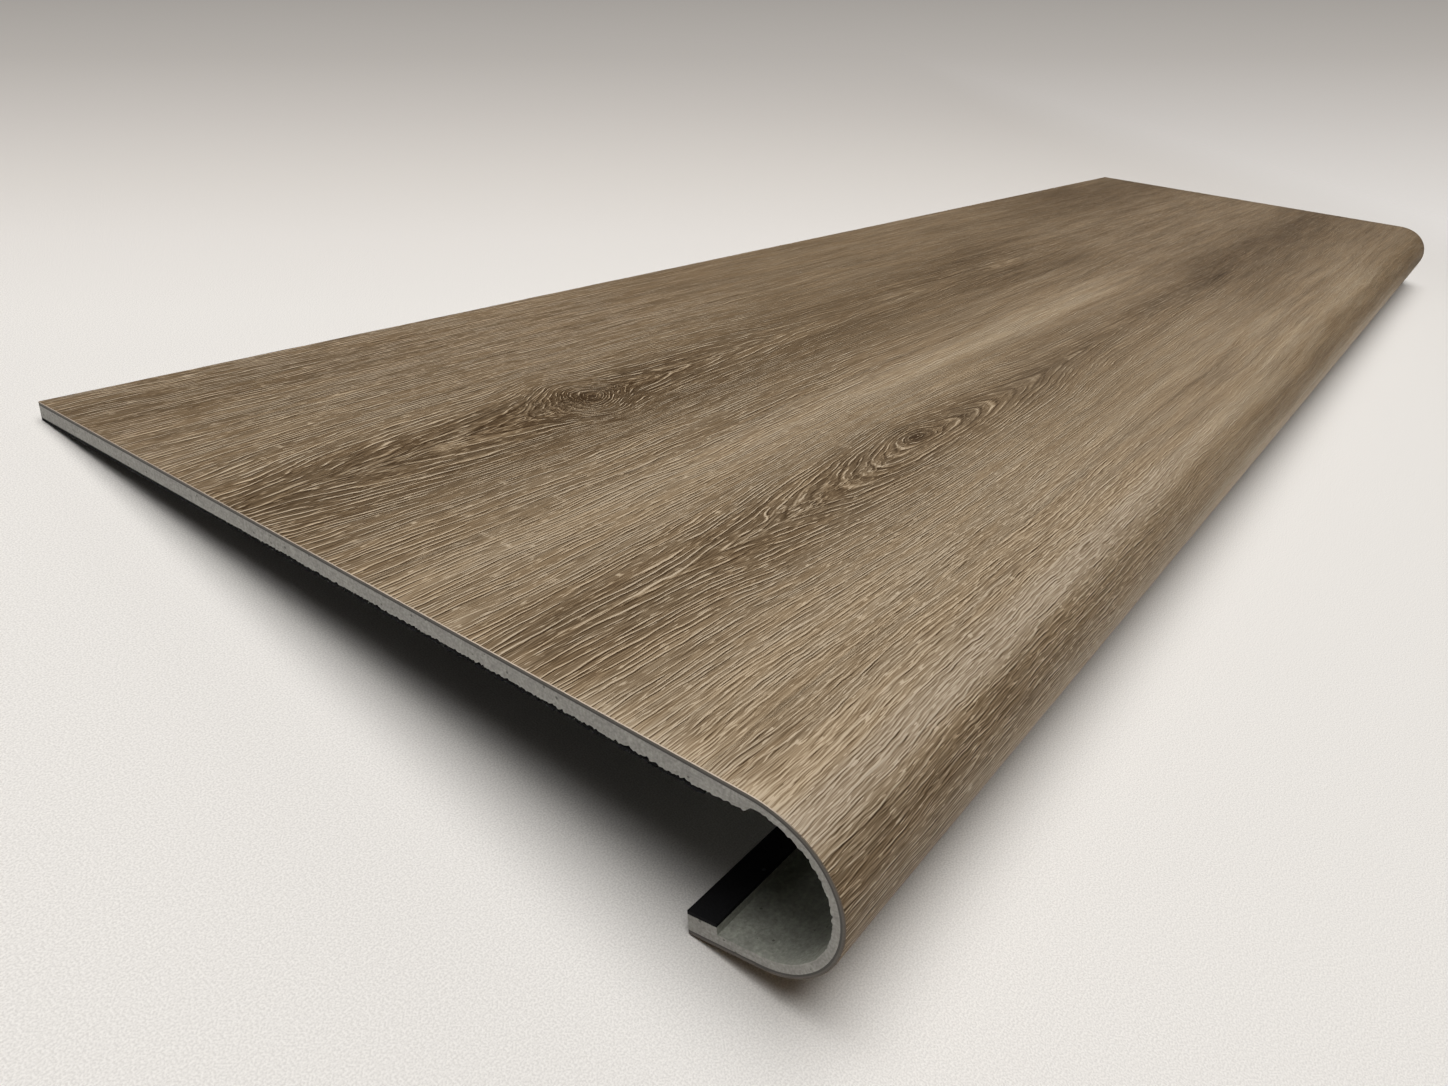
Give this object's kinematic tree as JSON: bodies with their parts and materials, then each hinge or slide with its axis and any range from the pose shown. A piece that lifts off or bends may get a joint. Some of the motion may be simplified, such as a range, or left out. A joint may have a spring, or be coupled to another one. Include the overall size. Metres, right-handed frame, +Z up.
{
  "type": "stair tread",
  "caption": "Laminated vinyl stair tread with oak-look face: flat board bent round a bullnose into a short return lip, foam pad on the back.",
  "frame": {"origin": "middle of the footprint of the tread as it lies on a floor by itself, on its lip's outer corner and the foot of its back edge", "axes": "+X along the tread's length, +Y from the nose towards the back edge, +Z up; the walking face slopes down towards the back edge by 8.1 degrees, as the tread lies when nothing holds it"},
  "size_m": [1.067, 0.3084, 0.0465],
  "materials": {
    "wear_layer": "matte",
    "top_ply": "matte",
    "core": "matte",
    "pad_foam": "matte"
  },
  "bodies": {
    "root": {"wear_layer": "wear_layer", "top_ply": "top_ply", "core": "core", "backing_pad": "pad_foam", "lip_pad": "pad_foam"}
  },
  "joints": []
}
